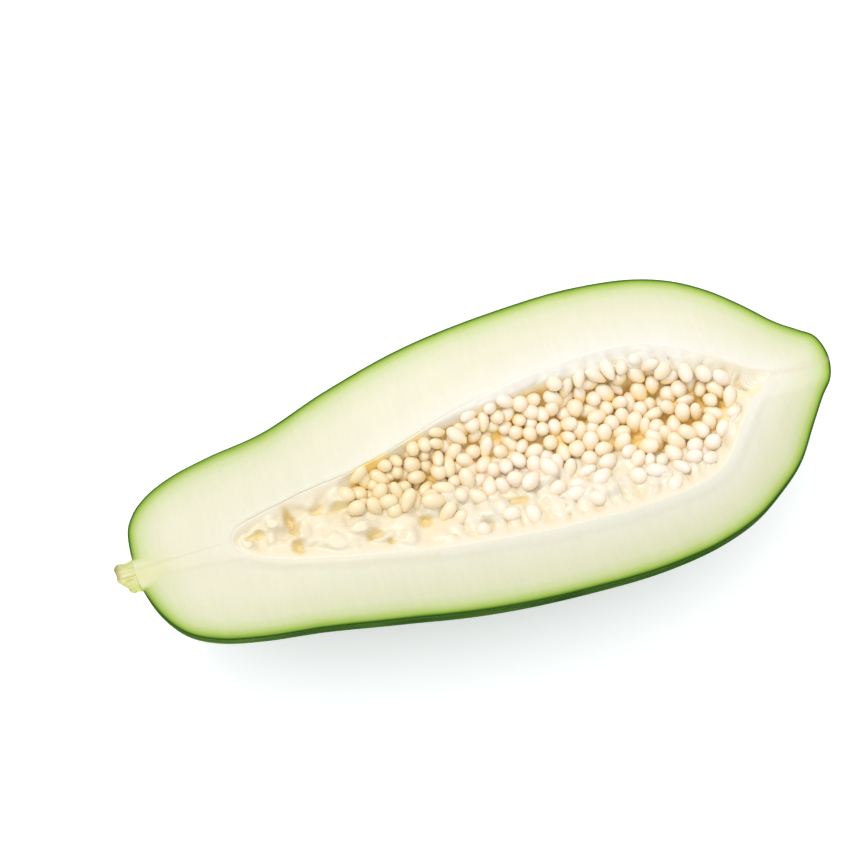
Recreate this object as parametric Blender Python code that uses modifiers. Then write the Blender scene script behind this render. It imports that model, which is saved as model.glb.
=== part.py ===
"""Half of a green papaya, cut lengthwise through its stem and lying on its back.

The half is three pieces: the fruit with its seed hollow, the seeds on their bed of pulp, and the
halved stem stub. It is modelled about the cut plane (z = 0, body below it), with x running from
the stem end to the blossom end, and is then raised to lie on its resting spot.
"""

import math

import bmesh
import bpy
import numpy as np
from mathutils import Matrix, Vector

MM = 0.001

# Outline of the fruit: distance from the stem end, reach to the far side (+y) and to the near side
# (-y) of the cut face, and depth below it. All in millimetres.
FRUIT_STATIONS = (
    (0, 0.0, 0.0, 0.0),
    (1, 12.6, 8.0, 10.6),
    (4, 18.8, 16.6, 18.4),
    (10, 24.0, 25.2, 25.8),
    (20, 28.2, 31.2, 31.8),
    (35, 31.2, 35.2, 36.4),
    (55, 33.8, 38.4, 41.2),
    (80, 41.5, 43.6, 48.0),
    (110, 48.2, 49.7, 52.4),
    (145, 51.2, 53.3, 53.0),
    (175, 50.8, 53.9, 50.8),
    (195, 47.3, 51.3, 47.2),
    (207, 42.6, 47.5, 43.4),
    (218, 35.6, 41.1, 37.0),
    (228, 26.5, 33.3, 29.0),
    (236, 17.9, 23.0, 20.4),
    (243, 12.2, 13.8, 13.4),
    (248, 8.0, 8.0, 8.6),
    (250, 0.0, 0.0, 0.0),
)
# The seed hollow, measured the same way.
HOLLOW_STATIONS = (
    (34, 0.0, 0.0, 0.0),
    (38, 4.6, 6.0, 4.6),
    (46, 6.6, 10.4, 8.0),
    (62, 9.4, 15.2, 12.0),
    (80, 11.2, 19.7, 15.6),
    (100, 15.6, 24.2, 19.4),
    (120, 20.9, 27.6, 22.8),
    (140, 24.2, 30.0, 25.2),
    (160, 26.3, 31.4, 26.6),
    (178, 26.3, 31.6, 26.4),
    (192, 23.6, 30.4, 24.2),
    (203, 18.2, 26.3, 19.6),
    (212, 11.7, 16.3, 13.4),
    (220, 5.6, 7.6, 7.0),
    (229, 0.0, 0.0, 0.0),
)

# Five faint ribs run the length of a papaya. The half has three of them: one along its bottom and
# one a little below the cut face on each side.
RIB_COUNT = 5
RIB_ANGLE = math.radians(18)
RIB_RISE_MIDDLE = 0.014
RIB_RISE_ENDS = 0.040
RIB_END_REACH = 34 * MM

FRUIT_SEGMENTS = 52
FRUIT_RINGS = 40
HOLLOW_SEGMENTS = 28
HOLLOW_RINGS = 32

REST_CUT = 1.3 * MM  # depth of the small flat that the back rests on
GAP = 0.3 * MM  # clearance between touching pieces
MERGE = 0.01 * MM
TINY = 1e-9
SHARP_ANGLE = math.radians(40)

# The seeds grow from a bed of pulp that half fills the hollow, with a trough nearer the far side.
BED_GAP = 0.6 * MM
BED_SEGMENTS = 28
BED_RINGS = 32
BED_RIM_DROP = 1.2 * MM  # how far the bed's rim stays under the cut face
BED_TIP_DROP = 0.3  # at the tips it is at most this share of the hollow's depth
TROUGH_DEPTH = 0.5  # share of the hollow's depth
TROUGH_PLACE = 0.3  # share of the way from the middle line to the far rim
TROUGH_POWER = 2.0

SEED_LENGTH = 7.7 * MM
SEED_WIDTH = 5.6 * MM
SEED_SEGMENTS = 5
SEED_RINGS = 3
SEED_BLUNTNESS = 0.12  # how much wider the outer end is than the rooted one
FACET_SWELL = 1.08  # keeps a few-sided seed as bulky as a round one
SEED_SINK = 1.0 * MM  # how deep a seed is rooted in the bed
SEED_LEAN = (15, 82)  # degrees between a seed and the straight way out of the bed
SEED_STRETCH = (0.04, 0.97)  # the part of the hollow's length that seeds grow in
SEED_ACROSS = (-0.86, 0.84)  # and of its width, from near rim to far rim
SEED_TOP_DROP = 0.4 * MM  # how far seeds stay under the cut face
SEED_RANDOM = 11
SEED_TRIES = 20000
BED_SEED_SPACING = 5.3 * MM
HEAP_SEED_SPACING = 7.6 * MM
HEAP_RISE = 3.4 * MM  # the second layer lies this much higher
NEAREST_SEED = 3.7 * MM  # a heaped seed's centre keeps this far from a seed below it
JOINED_SEED = 4.4 * MM  # and comes at least this close to one

STEM_AXIS_Y = -1.4 * MM
STEM_SEGMENTS = 20
# Stem stub: distance out from the fruit's end and radius, from its root to its cut end.
STEM_PROFILE = (
    (-9.0, 6.4),
    (-1.0, 6.3),
    (0.6, 5.7),
    (3.0, 5.2),
    (5.6, 5.1),
    (6.5, 4.5),
)

SKIN_COLOUR = (0.045, 0.16, 0.025, 1)
FLESH_COLOUR = (0.83, 0.80, 0.58, 1)
SEED_COLOUR = (0.85, 0.72, 0.52, 1)
STEM_COLOUR = (0.62, 0.60, 0.24, 1)


def material(name, colour, roughness):
    """A material for one finish."""
    made = bpy.data.materials.new(name)
    made.use_nodes = True
    shader = made.node_tree.nodes["Principled BSDF"]
    shader.inputs["Base Color"].default_value = colour
    shader.inputs["Roughness"].default_value = roughness
    shader.inputs["Metallic"].default_value = 0.0
    made.diffuse_color = colour
    return made


def shape_table(stations):
    """The stations as an array in metres."""
    return np.array(stations, float) * MM


def along_share(table, x):
    """Place along a body as a share of a half turn, so that round ends come out evenly."""
    start, end = table[0, 0], table[-1, 0]
    return np.arccos(np.clip(1 - 2 * (x - start) / (end - start), -1, 1)) / math.pi


def smooth_column(table, column, share):
    """A smooth curve through one column of a table, by cubic pieces that join without a kink."""
    knots = along_share(table, table[:, 0])
    values = table[:, column]
    slopes = np.gradient(values, knots)
    i = np.clip(np.searchsorted(knots, share) - 1, 0, len(knots) - 2)
    width = knots[i + 1] - knots[i]
    t = (share - knots[i]) / width
    value = values[i] * (1 + 2 * t) * (1 - t) ** 2 + values[i + 1] * t * t * (3 - 2 * t)
    bend = slopes[i] * t * (1 - t) ** 2 + slopes[i + 1] * t * t * (t - 1)
    return np.maximum(value + width * bend, 0)


def rib_factor(x, angle, length):
    """How much the ribs swell or narrow the section, with more relief near both ends."""
    from_end = np.minimum(x, length - x)
    rise = RIB_RISE_MIDDLE + (RIB_RISE_ENDS - RIB_RISE_MIDDLE) * np.exp(-from_end / RIB_END_REACH)
    return 1 + rise * np.cos(RIB_COUNT * (angle - RIB_ANGLE))


def pod_reach(table, share, wall):
    """Place along a pod, its reach to the far and near side, and its depth.

    A wall makes the pod smaller by its thickness, a little less so where the pod is narrow.
    """
    start, end = table[0, 0] + wall, table[-1, 0] - wall
    x = start + (end - start) * (1 - np.cos(math.pi * share)) / 2
    reaches = (smooth_column(table, column, share) for column in (1, 2, 3))
    far, near, depth = (reach * reach / (reach + wall + TINY) for reach in reaches)
    return x, far, near, depth


def pod_points(table, share, angle, wall=0.0, ribbed=False):
    """Points of a long pod. Share runs from end to end; angle 0 is +y and a quarter turn is down.

    The section is an ellipse whose side reach changes smoothly from the far to the near side.
    """
    x, far, near, depth = pod_reach(table, share, wall)
    side = (far + near) / 2 + (far - near) / 2 * np.cos(angle)
    swell = rib_factor(x, angle, table[-1, 0]) if ribbed else 1.0
    y = side * np.cos(angle) * swell
    z = -depth * np.sin(angle) * swell
    return np.stack([x, y, z], axis=-1)


def bed_top(table, share, across):
    """Points on the bed's open face. Across runs from -1 at the near rim to 1 at the far rim."""
    x, far, near, depth = pod_reach(table, share, BED_GAP)
    side = (far + near) / 2 + (far - near) / 2 * across
    reach = np.where(across > TROUGH_PLACE, 1 - TROUGH_PLACE, 1 + TROUGH_PLACE)
    from_trough = np.abs(across - TROUGH_PLACE) / reach
    rim_drop = np.minimum(BED_RIM_DROP, BED_TIP_DROP * depth)
    drop = rim_drop + TROUGH_DEPTH * depth * (1 - from_trough**TROUGH_POWER)
    return np.stack([x, side * across, -drop], axis=-1)


def bed_points(table, share, angle):
    """Points all round the bed: its back follows the hollow's wall, and its face is the trough."""
    depth = pod_reach(table, share, BED_GAP)[3]
    rim_drop = np.minimum(BED_RIM_DROP, BED_TIP_DROP * depth)
    rim_angle = np.arcsin(rim_drop / (depth + TINY))
    back_angle = rim_angle + angle * (1 - 2 * rim_angle / math.pi)
    back = pod_points(table, share, back_angle, BED_GAP)
    face = bed_top(table, share, np.cos(angle) * np.cos(rim_angle))
    return np.where((np.sin(angle) >= 0)[..., None], back, face)


def reshaped_ball(segments, rings, shape):
    """A sphere reshaped into a closed body. Its poles become the two ends."""
    body = bmesh.new()
    bmesh.ops.create_uvsphere(body, u_segments=segments, v_segments=rings, radius=1.0)
    ball = np.array([v.co for v in body.verts])
    share = np.arccos(np.clip(-ball[:, 2], -1, 1)) / math.pi
    angle = np.arctan2(ball[:, 1], ball[:, 0])
    for vert, point in zip(body.verts, shape(share, angle)):
        vert.co = point
    body.normal_update()
    bmesh.ops.recalc_face_normals(body, faces=body.faces)
    return body


def fruit_mesh(table):
    """The whole ribbed fruit."""
    return reshaped_ball(
        FRUIT_SEGMENTS, FRUIT_RINGS, lambda share, angle: pod_points(table, share, angle, ribbed=True)
    )


def slice_off(body, height, keep_below=True, cap_material=0):
    """Cuts a closed body level at a height, drops one side and closes the cut with a flat face."""
    side = 1 if keep_below else -1
    cut = bmesh.ops.bisect_plane(
        body,
        geom=body.verts[:] + body.edges[:] + body.faces[:],
        dist=TINY,
        plane_co=(0, 0, height),
        plane_no=(0, 0, side),
        clear_outer=True,
    )
    rim = [item for item in cut["geom_cut"] if isinstance(item, bmesh.types.BMEdge)]
    for face in bmesh.ops.edgeloop_fill(body, edges=rim)["faces"]:
        face.material_index = cap_material
    bmesh.ops.recalc_face_normals(body, faces=body.faces)


def new_object(name, body, collection, materials=()):
    """Turns a bmesh into an object in a collection."""
    mesh = bpy.data.meshes.new(name)
    body.to_mesh(mesh)
    body.free()
    for finish in materials:
        mesh.materials.append(finish)
    made = bpy.data.objects.new(name, mesh)
    collection.objects.link(made)
    return made


def hide_helper(helper):
    """A cutter shows as a wire frame and never renders."""
    helper.hide_render = True
    helper.display_type = "WIRE"
    return helper


def boolean(target, name, operation, operand=None, group=None, solver="EXACT"):
    """Adds a Boolean modifier that cuts with, or joins, one object or a whole collection."""
    made = target.modifiers.new(name, "BOOLEAN")
    made.operation = operation
    made.solver = solver
    made.material_mode = "TRANSFER"
    if group:
        made.operand_type = "COLLECTION"
        made.collection = group
    else:
        made.object = operand
    return made


def apply_modifiers(target):
    """Bakes an object's modifiers into its mesh."""
    graph = bpy.context.evaluated_depsgraph_get()
    baked = bpy.data.meshes.new_from_object(target.evaluated_get(graph))
    target.modifiers.clear()
    target.data = baked


def build_fruit(fruit, collection, cutters, skin, flesh):
    """Skin and flesh, grown as one: the lower half of the pod, hollowed, with a small flat below."""
    body = fruit_mesh(fruit)
    lowest = min(v.co.z for v in body.verts)
    slice_off(body, 0.0, cap_material=1)
    slice_off(body, lowest + REST_CUT, keep_below=False)
    half = new_object("fruit_half", body, collection, (skin, flesh))
    hollow = shape_table(HOLLOW_STATIONS)
    cutter = reshaped_ball(
        HOLLOW_SEGMENTS, HOLLOW_RINGS, lambda share, angle: pod_points(hollow, share, angle)
    )
    cutter = hide_helper(new_object("hollow_cutter", cutter, cutters, (flesh,)))
    boolean(half, "seed hollow", "DIFFERENCE", cutter)
    return half, -(lowest + REST_CUT)


def unit(vectors):
    """The same vectors, each one unit long."""
    return vectors / np.linalg.norm(vectors, axis=-1, keepdims=True)


def seed_places(table, random, spacing, rise, below=None):
    """Seed centres and directions, by dart throwing on the bed's open face.

    A dart is kept if its seed stays under the cut face and is far enough from every seed so far.
    A seed of the second layer must also lie on a seed below it, close enough to grow together.
    """
    step = 1e-4
    start, end = table[0, 0], table[-1, 0]
    x = start + (end - start) * random.uniform(*SEED_STRETCH, SEED_TRIES)
    share = along_share(table, x)
    across = random.uniform(*SEED_ACROSS, SEED_TRIES)
    lean = np.radians(random.uniform(*SEED_LEAN, SEED_TRIES))[:, None]
    turn = random.uniform(0, 2 * math.pi, SEED_TRIES)[:, None]
    foot = bed_top(table, share, across)
    along = unit(bed_top(table, share + step, across) - foot)
    aside = bed_top(table, share, across + step) - foot
    inward = unit(np.cross(along, aside))
    flat = along * np.cos(turn) + np.cross(inward, along) * np.sin(turn)
    axis = inward * np.cos(lean) + flat * np.sin(lean)
    half_length, half_width = SEED_LENGTH / 2, SEED_WIDTH / 2
    reach = np.hypot(half_length * np.cos(lean), half_width * np.sin(lean))
    centre = foot + inward * (reach - SEED_SINK + rise)
    rise_of_tip = np.hypot(half_length * axis[:, 2], half_width * np.sqrt(1 - axis[:, 2] ** 2))
    under_cut = centre[:, 2] + rise_of_tip < -SEED_TOP_DROP

    kept = []
    for dart in np.flatnonzero(under_cut):
        apart = np.linalg.norm(centre[kept] - centre[dart], axis=1)
        if apart.size and apart.min() < spacing:
            continue
        if below is not None:
            nearest = np.linalg.norm(below - centre[dart], axis=1).min()
            if not NEAREST_SEED <= nearest <= JOINED_SEED:
                continue
        kept.append(dart)
    return centre[kept], axis[kept]


def seed_mesh(finish):
    """One seed: a few-sided egg, a little blunter at its outer end."""
    body = bmesh.new()
    bmesh.ops.create_uvsphere(body, u_segments=SEED_SEGMENTS, v_segments=SEED_RINGS, radius=1.0)
    for vert in body.verts:
        blunt = FACET_SWELL * (1 + SEED_BLUNTNESS * vert.co.z)
        vert.co.x *= SEED_WIDTH / 2 * blunt
        vert.co.y *= SEED_WIDTH / 2 * blunt
        vert.co.z *= SEED_LENGTH / 2
    mesh = bpy.data.meshes.new("seed")
    body.to_mesh(mesh)
    body.free()
    mesh.materials.append(finish)
    return mesh


def build_seeds(collection, finish):
    """The pulp bed in the hollow with its seeds, all in one body."""
    hollow = shape_table(HOLLOW_STATIONS)
    body = reshaped_ball(
        BED_SEGMENTS, BED_RINGS, lambda share, angle: bed_points(hollow, share, angle)
    )
    seeds = new_object("seeds", body, collection, (finish,))
    random = np.random.default_rng(SEED_RANDOM)
    rooted, rooted_axes = seed_places(hollow, random, BED_SEED_SPACING, 0.0)
    heaped, heaped_axes = seed_places(hollow, random, HEAP_SEED_SPACING, HEAP_RISE, rooted)
    centres = np.concatenate([rooted, heaped])
    axes = np.concatenate([rooted_axes, heaped_axes])
    shared = seed_mesh(finish)
    loose = bpy.data.collections.new("loose_seeds")
    bpy.context.scene.collection.children.link(loose)
    for number, (centre, axis) in enumerate(zip(centres, axes)):
        seed = bpy.data.objects.new(f"seed_{number}", shared)
        turned = Vector(axis).to_track_quat("Z", "X").to_matrix().to_4x4()
        seed.matrix_world = Matrix.Translation(centre) @ turned
        loose.objects.link(seed)
    print("seeds on the bed:", len(rooted), "heaped:", len(heaped))
    boolean(seeds, "seeds joined", "UNION", group=loose, solver="MANIFOLD")
    apply_modifiers(seeds)
    for seed in list(loose.objects):
        bpy.data.objects.remove(seed)
    bpy.data.collections.remove(loose)
    return seeds


def build_stem(fruit, collection, cutters, finish):
    """The halved stem stub: a turned profile cut level, its root hollowed to fit the fruit's end."""
    profile = bmesh.new()
    points = [(radius * MM, 0, out * MM) for out, radius in STEM_PROFILE]
    line = [profile.verts.new(p) for p in [(0, 0, points[0][2])] + points + [(0, 0, points[-1][2])]]
    line.reverse()
    for one, other in zip(line, line[1:]):
        profile.edges.new((one, other))
    turned = new_object("stem", profile, collection, (finish,))
    screw = turned.modifiers.new("turned", "SCREW")
    screw.axis = "Z"
    screw.steps = STEM_SEGMENTS
    screw.render_steps = STEM_SEGMENTS
    screw.use_merge_vertices = True
    screw.merge_threshold = MERGE
    apply_modifiers(turned)

    body = bmesh.new()
    body.from_mesh(turned.data)
    bmesh.ops.rotate(body, verts=body.verts, matrix=Matrix.Rotation(-math.pi / 2, 3, "Y"))
    bmesh.ops.translate(body, verts=body.verts, vec=(0, STEM_AXIS_Y, 0))
    slice_off(body, 0.0)
    body.to_mesh(turned.data)
    body.free()

    end = fruit_mesh(fruit)
    bmesh.ops.translate(end, verts=end.verts, vec=(-GAP, 0, 0))
    end = hide_helper(new_object("fruit_end_cutter", end, cutters, (finish,)))
    boolean(turned, "root fits the fruit", "DIFFERENCE", end)
    return turned


def smooth(target):
    """Round faces shade smooth and true edges stay sharp."""
    target.data.shade_smooth()
    target.data.set_sharp_from_angle(angle=SHARP_ANGLE)


def main():
    """Builds the half papaya in its own collection and stands it on its resting spot."""
    for old in list(bpy.data.objects):
        bpy.data.objects.remove(old)
    papaya = bpy.data.collections.new("papaya_half")
    cutters = bpy.data.collections.new("cutters")
    for made in (papaya, cutters):
        bpy.context.scene.collection.children.link(made)

    skin = material("papaya_skin", SKIN_COLOUR, 0.42)
    flesh = material("papaya_flesh", FLESH_COLOUR, 0.5)
    seed_finish = material("papaya_seed", SEED_COLOUR, 0.35)
    stem_finish = material("papaya_stem", STEM_COLOUR, 0.6)

    fruit = shape_table(FRUIT_STATIONS)
    half, cut_height = build_fruit(fruit, papaya, cutters, skin, flesh)
    seeds = build_seeds(papaya, seed_finish)
    stem = build_stem(fruit, papaya, cutters, stem_finish)
    for piece in (half, seeds, stem):
        smooth(piece)

    stem_reach = STEM_PROFILE[-1][0] * MM
    widest_far, widest_near = fruit[:, 1].max(), fruit[:, 2].max()
    stand = bpy.data.objects.new("stand", None)
    stand.location = (
        -(fruit[-1, 0] - stem_reach) / 2,
        -(widest_far - widest_near) / 2,
        cut_height,
    )
    papaya.objects.link(stand)
    for piece in list(papaya.objects) + list(cutters.objects):
        if piece is not stand:
            piece.parent = stand
    print("cut face height (mm):", round(cut_height / MM, 3))


main()
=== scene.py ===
import math

import bmesh
import bpy
import numpy as np
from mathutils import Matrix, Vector


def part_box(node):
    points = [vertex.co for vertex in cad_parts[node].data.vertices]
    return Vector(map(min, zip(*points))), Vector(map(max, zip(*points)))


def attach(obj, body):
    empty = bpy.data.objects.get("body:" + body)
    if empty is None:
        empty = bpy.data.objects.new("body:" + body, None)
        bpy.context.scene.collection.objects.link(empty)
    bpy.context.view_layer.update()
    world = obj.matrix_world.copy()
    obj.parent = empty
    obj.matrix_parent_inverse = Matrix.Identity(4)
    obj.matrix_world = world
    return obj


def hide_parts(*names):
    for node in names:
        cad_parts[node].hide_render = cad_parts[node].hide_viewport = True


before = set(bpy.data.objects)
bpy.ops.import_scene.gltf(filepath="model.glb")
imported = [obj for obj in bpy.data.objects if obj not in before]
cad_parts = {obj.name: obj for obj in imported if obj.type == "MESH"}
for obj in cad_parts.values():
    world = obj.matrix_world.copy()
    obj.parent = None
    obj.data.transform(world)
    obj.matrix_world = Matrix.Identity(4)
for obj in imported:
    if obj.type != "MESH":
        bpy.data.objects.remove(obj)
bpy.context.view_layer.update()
print("stage: frame loaded")

mm = 0.001
tiny = 1e-9
mergeDistance = 0.001 * mm
lightGain = 1.4  # how much brighter than its own colour a level matt surface looks in the studio
sharpAngle = 55  # degrees; edges that turn more than this are shaded as sharp

# The fruit is worked out in its own frame: x runs from the stem end to the blossom end, +y is the
# far side, and z = 0 is the cut face. Every length in the tables below is in millimetres.
fruit = {
    "stations": (  # x, reach to the far side, reach to the near side, depth below the cut
        (0, 0, 0, 0), (1, 12.6, 8, 10.6), (4, 18.8, 16.6, 18.4), (10, 24, 25.2, 25.8),
        (20, 28.2, 31.2, 31.8), (35, 31.2, 35.2, 36.4), (55, 33.8, 38.4, 41.2),
        (80, 41.5, 43.6, 48), (110, 48.2, 49.7, 52.4), (145, 51.2, 53.3, 53),
        (175, 50.8, 53.9, 50.8), (195, 47.3, 51.3, 47.2), (207, 42.6, 47.5, 43.4),
        (218, 35.6, 41.1, 37), (228, 26.5, 33.3, 29), (236, 17.9, 23, 20.4),
        (243, 12.2, 13.8, 13.4), (248, 8, 8, 8.6), (250, 0, 0, 0),
    ),
    "hollow": (  # the same for the seed hollow
        (34, 0, 0, 0), (38, 4.6, 6, 4.6), (46, 6.6, 10.4, 8), (62, 9.4, 15.2, 12),
        (80, 11.2, 19.7, 15.6), (100, 15.6, 24.2, 19.4), (120, 20.9, 27.6, 22.8),
        (140, 24.2, 30, 25.2), (160, 26.3, 31.4, 26.6), (178, 26.3, 31.6, 26.4),
        (192, 23.6, 30.4, 24.2), (203, 18.2, 26.3, 19.6), (212, 11.7, 16.3, 13.4),
        (220, 5.6, 7.6, 7), (229, 0, 0, 0),
    ),
    "ribCount": 5,
    "ribAngle": 18,  # degrees
    "ribRise": (0.014, 0.040),  # in the middle and at the ends, as a share of the radius
    "ribEndReach": 34,
    "columns": 230,
    "skinRows": 92,
    "cutRows": 58,
    "wallRows": 26,
    "skinRelief": (0.35, 26, 12),  # depth, size and fade at the ends
    "restSoftness": 0.15,  # how softly the skin runs into the flat that it rests on
    "flowRadius": 45,  # the skin's pattern is laid out as on a round of this radius
    "flowShift": 200,  # between the patterns of the two sides of the cut
    "edgeDrop": 0.25,  # the cut edge of the skin is rounded by this much
    "edgeWidth": 0.6,
    "sharpReach": (8, 6.0),  # but not within this reach of the stem, along and across
    "rimDrop": 0.24,  # the lip of the hollow is rounded by this much
    "rimWidth": 1.3,
    "rimHeight": 4,
    "rimWander": (0.5, 7, 6),  # how unevenly the rim runs, the size and depth of that
    "cutRelief": (0.12, 14, 3),  # depth and size of the cut face's unevenness, and its margin
    "nearSink": 0.35,  # the near side of the cut face lies this much lower, outside a narrow lip
    "nearLip": 2.2,
    "nearFades": (3.0, 14, 12),  # over these distances from the lip, the skin and the middle
    "lipStart": (2.5, 0.125, 38),  # left of the hollow the lip is first + second * x out, up to x
    "wallInside": 40.0,  # the wall of the hollow counts as this far from the skin
    "tissueReach": 11,  # yellowish tissue runs on from the stem into the flesh
    "tissueWidth": 4.6,
    "scarPlace": (250, 1, 0),  # at the blossom end
    "scarReach": (3.2, 4.5, 5.5),
}
fruitTable = np.array(fruit["stations"], float) * mm
hollowTable = np.array(fruit["hollow"], float) * mm
fruitLow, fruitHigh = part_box("fruit_half")
widestFar, widestNear = fruitTable[:, 1].max(), fruitTable[:, 2].max()
middleY = (fruitLow[1] + fruitHigh[1]) / 2 + (widestNear - widestFar) / 2
origin = np.array([fruitLow[0], middleY, fruitHigh[2]])


def paint(red, green, blue):
    # a colour as it looks on a screen under the studio lights, 0 to 255, as a shader's linear colour
    screen = np.array([red, green, blue]) / 255
    linear = np.where(screen <= 0.04045, screen / 12.92, ((screen + 0.055) / 1.055) ** 2.4)
    return (*(linear / lightGain).tolist(), 1.0)


def smoothStep(value):
    # 0 below 0, 1 above 1, and an S curve between them
    t = np.clip(value, 0, 1)
    return t * t * (3 - 2 * t)


def easeIn(place, start, width):
    # rises from 0 at a start to 1 a width further on, both in mm
    return smoothStep((place / mm - start) / width)


def halfTurn(count):
    return np.linspace(0, math.pi, count)[None, :]


def softNoise(points, size, seed):
    # noise from -1 to 1: random values on a cubic lattice, blended by an S curve between its corners
    lattice = np.random.default_rng(seed).uniform(-1, 1, (32, 32, 32))
    place = points / size
    cell = np.floor(place).astype(int)
    part = smoothStep(place - cell)
    total = 0
    for corner in np.ndindex(2, 2, 2):
        at = (cell + corner) % 32
        weight = np.prod(np.where(corner, part, 1 - part), axis=-1)
        total = total + weight * lattice[at[..., 0], at[..., 1], at[..., 2]]
    return total


def layeredNoise(points, size, seed):
    # three layers of noise, each half as large and half as strong as the one before
    layers = [softNoise(points, size / 2**k, seed + k) / 2**k for k in range(3)]
    return sum(layers) / 1.75


def flatPlace(x, y):
    return np.stack([x, y, 0 * x], axis=-1)


def alongShare(table, x):
    # place along a pod as a share of a half turn, which packs points towards both round ends
    start, end = table[0, 0], table[-1, 0]
    return np.arccos(np.clip(1 - 2 * (x - start) / (end - start), -1, 1)) / math.pi


def smoothColumn(table, column, share):
    # a cubic curve through one column of the table, with slopes taken from the neighbours
    knots = alongShare(table, table[:, 0])
    values = table[:, column]
    slopes = np.gradient(values, knots)
    i = np.clip(np.searchsorted(knots, share) - 1, 0, len(knots) - 2)
    width = knots[i + 1] - knots[i]
    t = (share - knots[i]) / width
    value = values[i] * (1 + 2 * t) * (1 - t) ** 2 + values[i + 1] * t * t * (3 - 2 * t)
    bend = slopes[i] * t * (1 - t) ** 2 + slopes[i + 1] * t * t * (t - 1)
    return np.maximum(value + width * bend, 0)


def podReach(table, share, wall=0.0):
    # x, far reach, near reach and depth; a wall shrinks each reach r to r * r / (r + wall)
    start, end = table[0, 0] + wall, table[-1, 0] - wall
    x = start + (end - start) * (1 - np.cos(math.pi * share)) / 2
    reaches = [smoothColumn(table, column, share) for column in (1, 2, 3)]
    return x, *[reach * reach / (reach + wall + tiny) for reach in reaches]


def podPoints(table, share, angle, ribbed=False):
    # y = reach * cos(angle), z = -depth * sin(angle), the reach passing from far to near side by
    # the cosine; ribs swell both by 1 + rise * cos(count * angle)
    x, far, near, depth = podReach(table, share)
    side = (far + near) / 2 + (far - near) / 2 * np.cos(angle)
    swell = 1.0
    if ribbed:
        fromEnd = np.minimum(x, table[-1, 0] - x)
        low, high = fruit["ribRise"]
        rise = low + (high - low) * np.exp(-fromEnd / (fruit["ribEndReach"] * mm))
        swell = 1 + rise * np.cos(ribTurn(angle))
    y, z = side * np.cos(angle) * swell, -depth * np.sin(angle) * swell
    return np.stack(np.broadcast_arrays(x, y, z), axis=-1)


def ribTurn(angle):
    return fruit["ribCount"] * (angle - math.radians(fruit["ribAngle"]))


def gridFaces(rows, columns, start=0, closed=False):
    # the four corners of each cell of a grid of points stored row by row
    r = np.arange(rows - 1)[:, None]
    c = np.arange(columns if closed else columns - 1)[None, :]
    a, b = r * columns + c, r * columns + (c + 1) % columns
    return start + np.stack([a, b, b + columns, a + columns], axis=-1).reshape(-1, 4)


def addObject(name, data):
    made = bpy.data.objects.new(name, data)
    bpy.context.scene.collection.objects.link(made)
    return made


def makePiece(name, points, faces, materials, attributes, slots=None):
    # a closed mesh with its faces outwards, from points in the fruit's frame
    mesh = bpy.data.meshes.new(name)
    mesh.from_pydata((points + origin).tolist(), [], faces)
    for material in materials:
        mesh.materials.append(material)
    if slots is not None:
        mesh.polygons.foreach_set("material_index", slots)
    for key, values in attributes.items():
        single = values.ndim == 1
        layer = mesh.attributes.new(key, "FLOAT" if single else "FLOAT_VECTOR", "POINT")
        layer.data.foreach_set("value" if single else "vector", values.ravel())
    body = bmesh.new()
    body.from_mesh(mesh)
    bmesh.ops.remove_doubles(body, verts=body.verts, dist=mergeDistance)
    bmesh.ops.recalc_face_normals(body, faces=body.faces)
    body.to_mesh(mesh)
    body.free()
    mesh.shade_smooth()
    mesh.set_sharp_from_angle(angle=math.radians(sharpAngle))
    return addObject(name, mesh)


def addNode(tree, kind, inputs=None, **settings):
    # a node with its settings, its fixed inputs and its links
    made = tree.nodes.new(kind)
    for key, value in settings.items():
        setattr(made, key, value)
    for key, value in (inputs or {}).items():
        if isinstance(value, bpy.types.NodeSocket):
            tree.links.new(value, made.inputs[key])
        else:
            made.inputs[key].default_value = value
    return made


def calc(tree, operation, *values, clamp=False):
    inputs = dict(enumerate(values))
    return addNode(tree, "ShaderNodeMath", inputs, operation=operation, use_clamp=clamp).outputs[0]


def times(tree, first, second):
    return calc(tree, "MULTIPLY", first, second)


def fadeOut(tree, distance, reach, power):
    # from 1 at no distance to 0 at the reach: (1 - distance / reach) ^ power
    share = calc(tree, "SUBTRACT", 1.0, calc(tree, "DIVIDE", distance, reach), clamp=True)
    return calc(tree, "POWER", share, power)


def blend(tree, factor, under, over, mode="MIX"):
    inputs = {0: factor, 6: under, 7: over}
    return addNode(tree, "ShaderNodeMix", inputs, data_type="RGBA", blend_type=mode).outputs[2]


def tint(tree, colour, over, name, strength):
    # lays a colour over another where the attribute is high
    return blend(tree, times(tree, attribute(tree, name), strength), colour, over)


def ramp(tree, factor, *stops):
    # a colour ramp; each stop is a place from 0 to 1 and a colour or a grey value
    made = addNode(tree, "ShaderNodeValToRGB", {"Fac": factor})
    marks = made.color_ramp.elements
    while len(marks) < len(stops):
        marks.new(1.0)
    for mark, (place, colour) in zip(marks, stops):
        mark.position = place
        mark.color = colour if isinstance(colour, tuple) else (colour, colour, colour, 1)
    return made.outputs["Color"]


def rescale(tree, value, low, high, newLow=0.0, newHigh=1.0):
    inputs = {"Value": value, "From Min": low, "From Max": high, "To Min": newLow, "To Max": newHigh}
    return addNode(tree, "ShaderNodeMapRange", inputs).outputs[0]


def noise(tree, vector, scale, detail=3.0, roughness=0.5, distortion=0.0):
    inputs = {
        "Vector": vector,
        "Scale": scale,
        "Detail": detail,
        "Roughness": roughness,
        "Distortion": distortion,
    }
    return addNode(tree, "ShaderNodeTexNoise", inputs).outputs["Fac"]


def stretch(tree, vector, scale):
    return addNode(tree, "ShaderNodeMapping", {"Vector": vector, "Scale": scale}).outputs[0]


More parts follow.
